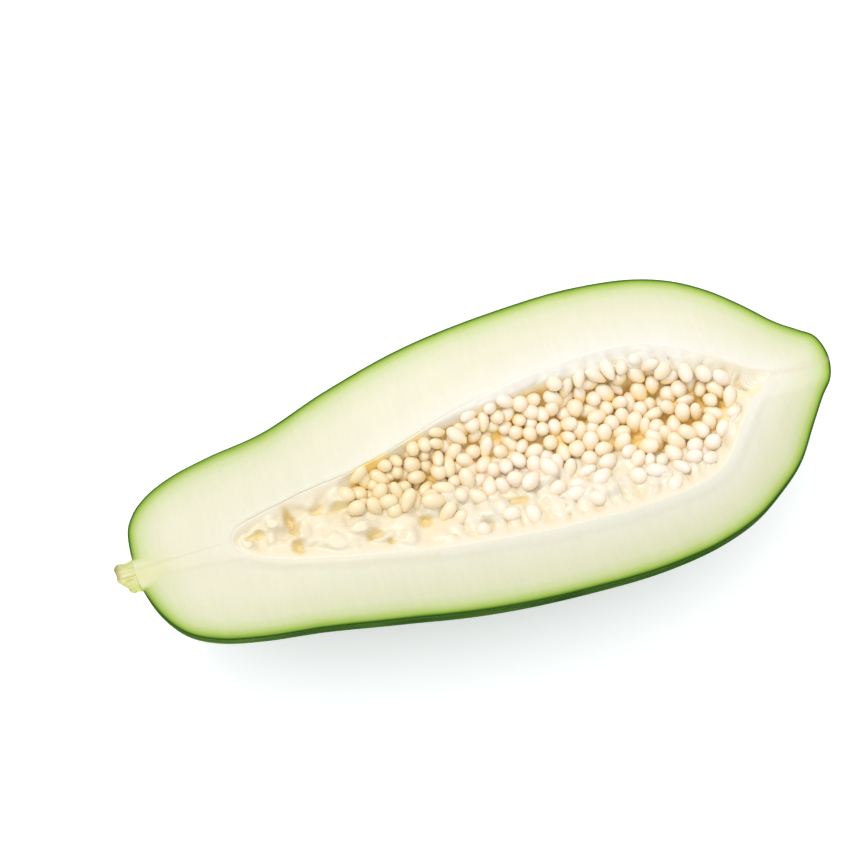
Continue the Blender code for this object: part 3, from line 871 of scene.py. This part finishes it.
def buildBed():
    # the open face is the height map above; the back follows the wall of the hollow
    gap, overlap = bed["gap"] * mm, bed["overlap"] * mm
    share = np.linspace(0, 1, bed["columns"])[:, None]
    side = np.cos(halfTurn(bed["faceRows"]))
    x, far, near, depth = podReach(hollowTable, share, gap)
    middle = (x[0] + x[-1]) / 2
    x = middle + (x - middle) * (1 + 2 * (gap + overlap) / (x[-1] - x[0]))
    far, near = far + overlap, near + overlap
    y = side * ((far + near) / 2 + (far - near) / 2 * side)
    x = np.broadcast_to(x, y.shape)
    z, relief, fromRim = bedHeight(x, y)
    edge = bed["rimDrop"] * mm
    z = np.where(np.abs(side) > 1 - tiny, -edge, z)
    face = np.stack([x, y, z], axis=-1)
    angle = halfTurn(bed["backRows"])
    rimAngle = np.arcsin(np.minimum(edge / (depth + tiny), 0.3))
    angle = rimAngle + angle * (1 - 2 * rimAngle / math.pi)
    backY = ((far + near) / 2 + (far - near) / 2 * np.cos(angle)) * np.cos(angle)
    back = np.stack(np.broadcast_arrays(x[:, :1], backY, -depth * np.sin(angle)), axis=-1)
    back[:, 0], back[:, -1] = face[:, 0], face[:, -1]
    shown, hidden = face.shape[0] * face.shape[1], back.shape[0] * back.shape[1]
    faces = [gridFaces(*face.shape[:2]), gridFaces(*back.shape[:2], start=shown)]
    marks = bedMarks(x, y, relief, fromRim).items()
    piece = makePiece(
        "pulpBed",
        np.concatenate([face.reshape(-1, 3), back.reshape(-1, 3)]),
        np.concatenate(faces).tolist(),
        [pulpMaterial()],
        {key: np.concatenate([mark.ravel(), np.zeros(hidden)]) for key, mark in marks},
    )
    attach(piece, "root")
    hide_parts("seeds")


def seedDensity(x, y):
    # full in the thick band, thinner on the near side of it, none on the far folds or the left tip
    near = bandLine(x, "bandNear")
    rightNear = easeIn(x, 96, 6) * smoothStep((near - y) / (3 * mm) + 0.5)
    leftEnd = 0.3 + 0.7 * easeIn(x, 74, 20)
    return np.maximum(bedZone(x, y) * leftEnd, seeds["thin"] * rightNear)


def scatterSeeds(random):
    # seeds fall at random where the density lets them, each leaning its own way
    tries = seeds["tries"]
    x = random.uniform(*seeds["stretch"], tries) * mm
    far, near, _ = bedReach(x)
    y = random.uniform(-0.9, 0.86, tries)
    y = np.where(y > 0, y * far, y * near)
    keep = np.flatnonzero(random.uniform(0, 1, tries) < seedDensity(x, y))[: seeds["count"]]
    x, y = x[keep], y[keep]
    lean = np.radians(random.uniform(*seeds["lean"], len(keep)))
    turn = random.uniform(0, 2 * math.pi, len(keep))
    level = np.sin(lean)
    axis = np.stack([level * np.cos(turn), level * np.sin(turn), np.cos(lean)], axis=-1)
    return np.stack([x, y, bedHeight(x, y)[0] + seedWide], axis=-1), axis


def pushApart(centre, axis):
    # a seed counts as three balls, and balls of two seeds that overlap push each other away
    offset = np.array([-1, 0, 1]) * (seedHalf - seedWide) * seeds["ballSpread"]
    owner = np.repeat(np.arange(len(centre)), 3)
    apart = owner[:, None] != owner[None, :]
    balls = (centre[:, None] + axis[:, None] * offset[None, :, None]).reshape(-1, 3)
    gap = balls[:, None] - balls[None]
    length = np.linalg.norm(gap, axis=-1) + tiny
    push = np.clip(2 * seedWide * seeds["squeeze"] - length, 0, None) * apart
    move = (gap / length[..., None] * push[..., None]).sum(axis=1).reshape(-1, 3, 3)
    move = move * seeds["pushShare"]
    axis = axis + (move[:, 2] - move[:, 0]) / (2 * offset[2]) * seeds["turnShare"]
    axis[:, 2] = np.abs(axis[:, 2])
    return centre + move.mean(axis=1), axis / np.linalg.norm(axis, axis=1, keepdims=True)


def keepGapsClear(centre):
    # seeds that reach into a gap move out of it
    away = centre[:, None, :2] - np.array(seeds["gaps"])[None] * mm
    length = np.linalg.norm(away, axis=-1) + tiny
    clear = np.clip(seeds["gapReach"] * mm + seedWide - length, 0, None)
    centre[:, :2] += 0.3 * (away / length[..., None] * clear[..., None]).sum(axis=1)


def topReach(axis):
    # how far the top of a leaning seed is above its centre
    return np.hypot(seedHalf * axis[:, 2], seedWide * np.sqrt(1 - axis[:, 2] ** 2))


def settleSeeds(centre, axis, random):
    # step by step the seeds push each other apart, keep to the hollow and sink into the bed
    count = len(centre)
    farLimit, nearLimit = random.uniform(*seeds["limitSpread"], (2, count))
    left = (seeds["stretch"][0] + random.uniform(0, seeds["startSpread"], count)) * mm
    strayed = random.uniform(0, seeds["straySpread"], count) * mm
    for step in range(seeds["settleSteps"]):
        centre, axis = pushApart(centre, axis)
        keepGapsClear(centre)
        x, y, z = centre.T
        upright = topReach(axis)
        far, near, _ = bedReach(x)
        x[:] = np.clip(x, left, seeds["stretch"][1] * mm)
        lower = bandLine(x, "bandNear") - strayed
        lower = lower + (-nearLimit * near - lower) * easeIn(x, 98, 16)
        y[:] = np.clip(y, lower, farLimit * far)
        sink = seeds["sink"] + (seeds["sinkRight"] - seeds["sink"]) * easeIn(x, 145, 30)
        rest = sink + seeds["paleSink"] * (1 - bedZone(x, y))
        rest = bedHeight(x, y)[0] + upright - rest * mm
        z += 0.25 * (rest - z)
        z[:] = np.clip(z, rest - 0.6 * mm, -upright - seeds["topDrop"] * mm)
    return centre, axis


def buriedShare(centre, top):
    # 1 for a seed whose top lies well under the tops round it, weighted by exp(-(distance / 6)^2);
    # such seeds get more painted shade
    apart = ((centre[:, None, :2] - centre[None, :, :2]) ** 2).sum(axis=-1)
    close = np.exp(-apart / (6 * mm) ** 2)
    return np.clip(((close * top).sum(axis=1) / close.sum(axis=1) - top) / mm + 0.3, 0, 1)


def seedPoints(centre, axis, random):
    # one egg shape, radius * sin, length * cos with its root end drawn to a point, set at each place
    count = len(centre)
    rings = np.linspace(0, math.pi, seeds["rings"] + 1)[1:-1]
    around = np.linspace(0, 2 * math.pi, seeds["segments"], endpoint=False)
    along = np.cos(rings)
    radius = np.sin(rings) * (1 + 0.16 * along - 0.10 * along**2)
    flat = np.cross(axis, random.normal(size=(count, 3)))
    flat /= np.linalg.norm(flat, axis=1, keepdims=True)
    other = np.cross(axis, flat)
    size = 1 + seeds["lengthSpread"] * random.normal(size=(count, 3)).clip(-1.6, 1.6)
    half, wide = seedHalf * size[:, 0], seedWide * size[:, 1]
    squash = 1 + seeds["squashSpread"] * random.normal(size=count).clip(-1.5, 1.5)
    circle = flat[:, None] * np.cos(around)[:, None] * squash[:, None, None]
    circle = circle + other[:, None] * np.sin(around)[:, None]
    spine = centre[:, None] + axis[:, None] * (half[:, None] * along)[..., None]
    body = spine[:, :, None] + circle[:, None] * (wide[:, None] * radius)[..., None, None]
    tips = centre[:, None] + axis[:, None] * (half[:, None] * np.array([1, -1]))[..., None]
    return np.concatenate([body.reshape(count, -1, 3), tips], axis=1)


def seedFaces(count, each):
    # four-sided faces between the rings of each seed and triangles round its two tips
    segments, inner = seeds["segments"], seeds["rings"] - 1
    turn = np.arange(segments)
    after, last = (turn + 1) % segments, (inner - 1) * segments
    top = np.stack([turn, after, 0 * turn + each - 2], axis=-1)
    bottom = np.stack([last + after, last + turn, 0 * turn + each - 1], axis=-1)
    starts = (np.arange(count) * each)[:, None, None]
    faces = []
    for cells in (gridFaces(inner, segments, closed=True), top, bottom):
        faces += (cells[None] + starts).reshape(-1, cells.shape[1]).tolist()
    return faces


def seedMaterial():
    made, tree, shader = newMaterial(
        "papayaSeed", Roughness=seeds["roughness"], Coat_Weight=0.25, Coat_Roughness=0.12
    )
    place = ownPlace(tree)
    mottle = noise(tree, place, 240.0, 3.0, 0.6)
    colour = blend(tree, attribute(tree, "tone"), seeds["ivory"], seeds["white"])
    colour = tint(tree, colour, seeds["golden"], "warm", 0.8)
    colour = blend(tree, ramp(tree, mottle, (0.4, 0.0), (0.7, 0.4)), colour, seeds["peach"])
    # painted shade: amber on the lower sides of each seed, more in the thick band and on seeds that
    # lie under their neighbours
    low = ramp(tree, attribute(tree, "rise"), (0.0, 1.0), (0.35, 0.6), (0.75, 0.0))
    low = times(tree, low, attribute(tree, "depth"))
    colour = blend(tree, low, colour, seeds["amber"])
    finishShader(tree, shader, colour, noise(tree, place, 700.0, 2.0), 0.0002, 0.35)
    return made


def buildSeeds():
    random = np.random.default_rng(seeds["random"])
    centre, axis = settleSeeds(*scatterSeeds(random), random)
    top = centre[:, 2] + topReach(axis)
    shown = top - bedHeight(centre[:, 0], centre[:, 1])[0] > seeds["shownShare"] * seedWide
    centre, axis, top = centre[shown], axis[shown], top[shown]
    points = seedPoints(centre, axis, random)
    count, each = points.shape[:2]
    flat = points.reshape(-1, 3)
    flat = flat + seeds["dents"] * mm * softNoise(flat, 2.6 * mm, 81)[:, None] * (1, 1, 0.3)
    # painted shade: how low each point lies on its seed, and how strongly its seed is shaded
    rise = 1 - (points[..., 2].max(axis=1, keepdims=True) - points[..., 2]) / (3.2 * mm)
    zone = bedZone(centre[:, 0], centre[:, 1])
    depth = (0.35 + 0.45 * zone) * (0.75 + 0.6 * buriedShare(centre, top))
    tone = np.clip(random.uniform(0, 1, count) * 0.8 + 0.5 * (1 - zone), 0, 1)
    warm = 1 - easeIn(centre[:, 0], 86, 55)
    attributes = {
        "tone": np.repeat(tone, each),
        "warm": np.repeat(warm, each),
        "depth": np.repeat(depth, each),
        "rise": np.clip(rise, 0, 1).ravel(),
    }
    piece = makePiece("seedsFine", flat, seedFaces(count, each), [seedMaterial()], attributes)
    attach(piece, "root")
    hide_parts("seeds")
    print("seeds:", count)


stem = {
    "axisY": -1.4,
    "profile": (  # distance out from the fruit's end and radius
        (-9, 6.4), (-1, 6.2), (1, 5.6), (3, 5.3), (5.2, 5.8), (7.2, 5.6),
    ),
    "root": -3.4,
    "endRound": 1.8,
    "slant": 3.2,  # how far the end slants back on its near side
    "rag": 0.9,
    "groove": 0.09,  # depth of the lengthwise grooves as a share of the radius
    "cutDrop": 0.5,
    "rows": 46,
    "columns": 84,
    "capRings": 8,
    "capHollow": 0.8,
    "fibre": paint(190, 191, 112),
    "green": paint(228, 228, 156),
    "pale": paint(248, 246, 204),
    "bright": paint(218, 225, 118),
    "brown": paint(166, 146, 84),
}


def stemMaterial():
    made, tree, shader = newMaterial("papayaStem", Roughness=0.6, Specular_IOR_Level=0.3)
    place = ownPlace(tree)
    fibres = streaks(tree, stretch(tree, place, (0.16, 1.0, 1.0)), 1300.0, 300.0, 0.45)
    colour = ramp(tree, fibres, (0.34, stem["fibre"]), (0.5, stem["green"]), (0.64, stem["pale"]))
    colour = tint(tree, colour, stem["bright"], "nearSide", 0.55)
    ragged = times(tree, calc(tree, "SUBTRACT", fibres, 0.5), 1.2)
    bark = calc(tree, "ADD", attribute(tree, "bark"), ragged, clamp=True)
    colour = blend(tree, times(tree, bark, 0.8), colour, stem["brown"])
    height = calc(tree, "ADD", fibres, noise(tree, place, 1200.0))
    finishShader(tree, shader, colour, height, 0.0006, 0.7)
    return made


def stemRings(out):
    # rings of half a round stub, closed by the level cut: the radius is read from the profile, the
    # cut end is rounded by a quarter circle and slants back on its near side
    reach, endRound = out[-1, 0], stem["endRound"] * mm
    share = (1 - np.cos(math.pi * np.linspace(0, 1, 2 * stem["columns"] // 3))) / 2
    top = np.linspace(-1, 1, stem["columns"] // 3 + 2)[1:-1]
    ringY = np.concatenate([np.cos(math.pi * share), top])[None, :]
    ringZ = np.concatenate([-np.sin(math.pi * share), 0 * top])[None, :]
    radius = np.interp(out, *np.array(stem["profile"]).T * mm)
    turnIn = np.clip((out - reach + endRound) / endRound, 0, 1)
    radius = radius - endRound * (1 - np.sqrt(1 - turnIn**2))
    plain = np.stack(np.broadcast_arrays(-out, ringY * radius, ringZ * radius), axis=-1)
    groove = (layeredNoise(plain * (0.15, 1, 1) + 0.5, 1.5 * mm, 51) - 1) / 2
    swollen = 1 + stem["groove"] * groove[..., None]
    ring = plain * np.where([False, True, True], swollen, 1)
    grown = smoothStep(out / (reach * 0.9))
    sunk = 0.25 * mm * (1 - smoothStep(out / (0.8 * mm) + 0.8))
    onTop = -0.03 * mm - sunk + stem["cutDrop"] * mm * (groove - 0.2) * grown
    ring[..., 2] = np.where(ringZ > -1e-6, onTop, np.minimum(ring[..., 2], -0.05 * mm))
    slant = smoothStep(-ringY * 0.9) + 0.5 * smoothStep(-ringZ)
    rag = stem["rag"] * mm * (1 - layeredNoise(plain, 1.8 * mm, 61)) / 2
    ring[..., 0] += grown * (stem["slant"] * mm * slant + rag)
    return ring


def buildStem():
    out = np.linspace(stem["root"], stem["profile"][-1][0], stem["rows"])[:, None] * mm
    reach = out[-1, 0]
    ring = stemRings(out)
    # the cut end is filled by smaller and smaller rings, a little uneven
    part = np.linspace(1, 0, stem["capRings"] + 1)[1:, None, None]
    middle = ring[-1].mean(axis=0)
    cap = middle + (ring[-1] - middle) * part
    uneven = (1 - layeredNoise(cap, 1.2 * mm, 71)) / 2
    cap[..., 0] += stem["capHollow"] * mm * uneven * (1 - part[..., 0] ** 2)
    cap[..., 2] = np.minimum(cap[..., 2], -0.15 * mm)
    root = np.broadcast_to(ring[:1].mean(axis=1, keepdims=True), ring[:1].shape)
    grid = np.concatenate([root, ring, cap])
    y = grid[..., 1] / mm
    end = smoothStep((out - reach * 0.62) / (reach * 0.38))
    end = np.concatenate([[[0]], end, np.ones((stem["capRings"], 1))])
    side = smoothStep(y / 3 + 0.4)
    bark = end * (0.15 + 0.85 * side) + 0.54 * smoothStep(np.abs(y) / 5 - 0.5) * side
    grid[..., 1] += stem["axisY"] * mm
    piece = makePiece(
        "stemStub",
        grid.reshape(-1, 3),
        gridFaces(*grid.shape[:2], closed=True).tolist(),
        [stemMaterial()],
        {"bark": bark.ravel(), "nearSide": smoothStep(-y / 4).ravel()},
    )
    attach(piece, "root")
    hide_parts("stem")


buildFruit()
print("stage: fruit half")
buildBed()
buildSeeds()
print("stage: seed hollow")
buildStem()
print("stage: stem")

studio = {
    "aim": (109.09, 18.91, 0.0),  # mm in the fruit's frame, seen at the middle of the picture
    "azimuth": -18.055,
    "elevation": 73.0,
    "distance": 811.96,
    "lens": 100.0,
    "floorSize": 6.0,
    "floorGlow": 0.3,  # the floor is a light table, which keeps the shadow short and soft
    "floorTint": (0.97, 0.98, 1.0, 1),
    "world": (0.97, 0.985, 1.0, 1),
    "worldStrength": 1.04,
    "lights": (  # name, place, size, power and colour
        ("overheadLight", (-0.1, 0.2, 1.6), 2.2, 5.4, (1, 1, 1)),
        ("keyLight", (-0.35, 0.7, 1.2), 0.35, 6.5, (1.0, 0.98, 0.95)),
    ),
}


def buildFloor():
    half = studio["floorSize"] / 2
    mesh = bpy.data.meshes.new("floor")
    corners = [(-half, -half, 0), (half, -half, 0), (half, half, 0), (-half, half, 0)]
    mesh.from_pydata(corners, [], [(0, 1, 2, 3)])
    made, tree, shader = newMaterial("paleFloor", Roughness=0.7)
    tone = ramp(tree, noise(tree, ownPlace(tree), 3.0, 2.0), (0.3, 0.86), (0.7, 0.88))
    finishShader(tree, shader, tone)
    shader.inputs["Emission Color"].default_value = studio["floorTint"]
    shader.inputs["Emission Strength"].default_value = studio["floorGlow"]
    mesh.materials.append(made)
    floor = addObject("floor", mesh)


def buildCamera():
    turn, rise = math.radians(studio["azimuth"]), math.radians(studio["elevation"])
    level = math.cos(rise)
    back = Vector((math.sin(turn) * level, -math.cos(turn) * level, math.sin(rise)))
    data = bpy.data.cameras.new("camera")
    data.lens = studio["lens"]
    camera = addObject("camera", data)
    aim = Vector(np.array(studio["aim"]) * mm + origin)
    camera.location = aim + back * studio["distance"] * mm
    camera.rotation_euler = (-back).to_track_quat("-Z", "Y").to_euler()
    bpy.context.scene.camera = camera


def buildLight(name, place, size, power, colour):
    # a soft square light that points at the middle of the fruit
    data = bpy.data.lights.new(name, "AREA")
    data.size, data.energy, data.color = size, power, colour
    light = addObject(name, data)
    light.location = place
    aim = Vector((0, 0, origin[2] / 2)) - Vector(place)
    light.rotation_euler = aim.to_track_quat("-Z", "Y").to_euler()


def buildWorld():
    world = bpy.data.worlds.new("studio")
    world.use_nodes = True
    light = world.node_tree.nodes["Background"]
    light.inputs["Color"].default_value = studio["world"]
    light.inputs["Strength"].default_value = studio["worldStrength"]
    bpy.context.scene.world = world
    bpy.context.scene.view_settings.view_transform = "Standard"


buildFloor()
buildCamera()
buildWorld()
for light in studio["lights"]:
    buildLight(*light)
print("stage: studio")
